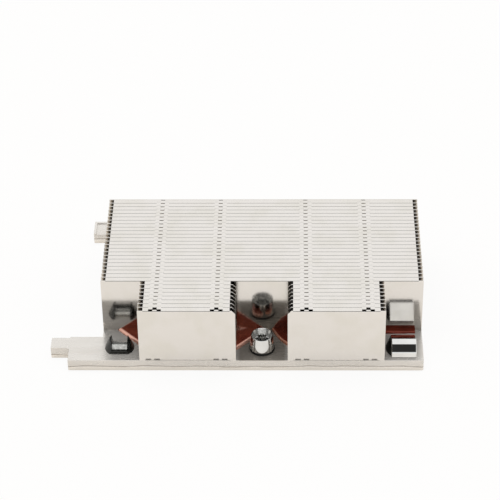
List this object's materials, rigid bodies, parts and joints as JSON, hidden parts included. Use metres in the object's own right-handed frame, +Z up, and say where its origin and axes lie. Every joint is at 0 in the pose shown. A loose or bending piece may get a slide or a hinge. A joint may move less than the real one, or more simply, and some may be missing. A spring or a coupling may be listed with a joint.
{
  "type": "passive server cpu heatsink",
  "caption": "Low passive heatsink for a server processor: folded interlocked fins on a flat base with flattened heat pipes, captive nuts and corner catches.",
  "frame": {"origin": "middle of the contact face underneath, which lies on Z = 0", "axes": "+X along the long side towards the plain end, -Y towards the notched front, +Z up towards the fin tops"},
  "size_m": [0.1252, 0.078, 0.0255],
  "materials": {
    "base_upper": "bead-blasted aluminium, satin",
    "base_lower": "machined aluminium, satin",
    "copper": "bare drawn copper, slightly tarnished",
    "fins": "rolled aluminium sheet, satin",
    "washer": "black nylon, matt",
    "bright_nickel": "bright nickel plate, polished",
    "black_steel": "blackened steel, semi-gloss"
  },
  "bodies": {
    "heatsink": {"base_lower": "base_lower", "base_upper": "base_upper", "catch_cheek_front_right": "black_steel", "catch_cheek_rear_right": "black_steel", "catch_clip_front_left": "black_steel", "catch_clip_rear_left": "black_steel", "catch_hood_front_left": "bright_nickel", "catch_hood_front_right": "bright_nickel", "catch_hood_rear_left": "bright_nickel", "catch_hood_rear_right": "bright_nickel", "fin_end": "fins", "fin_front_left_01": "fins", "fin_front_left_02": "fins", "fin_front_left_03": "fins", "fin_front_left_04": "fins", "fin_front_left_05": "fins", "fin_front_left_06": "fins", "fin_front_left_07": "fins", "fin_front_left_08": "fins", "fin_front_right_01": "fins", "fin_front_right_02": "fins", "fin_front_right_03": "fins", "fin_front_right_04": "fins", "fin_front_right_05": "fins", "fin_front_right_06": "fins", "fin_front_right_07": "fins", "fin_front_right_08": "fins", "fin_full_01": "fins", "fin_full_02": "fins", "fin_full_03": "fins", "fin_full_04": "fins", "fin_full_05": "fins", "fin_full_06": "fins", "fin_full_07": "fins", "fin_full_08": "fins", "fin_full_09": "fins", "fin_full_10": "fins", "fin_full_11": "fins", "fin_full_12": "fins", "fin_full_13": "fins", "fin_full_14": "fins", "fin_full_15": "fins", "fin_full_16": "fins", "fin_full_17": "fins", "fin_full_18": "fins", "fin_full_19": "fins", "fin_full_20": "fins", "fin_full_21": "fins", "fin_full_22": "fins", "fin_full_23": "fins", "heat_pipe_left": "copper", "heat_pipe_right": "copper"},
    "front_nut": {"nut_front": "bright_nickel", "nut_washer_front": "washer"},
    "rear_nut": {"nut_rear": "bright_nickel", "nut_washer_rear": "washer"}
  },
  "joints": [
    {"name": "front_nut_turn", "type": "hinge", "parent": "heatsink", "child": "front_nut", "pos_m": [0, -0.0326, 0.0044], "axis": [0, 0, 1], "continuous": true},
    {"name": "rear_nut_turn", "type": "hinge", "parent": "heatsink", "child": "rear_nut", "pos_m": [0, 0.0326, 0.0044], "axis": [0, 0, 1], "continuous": true}
  ]
}
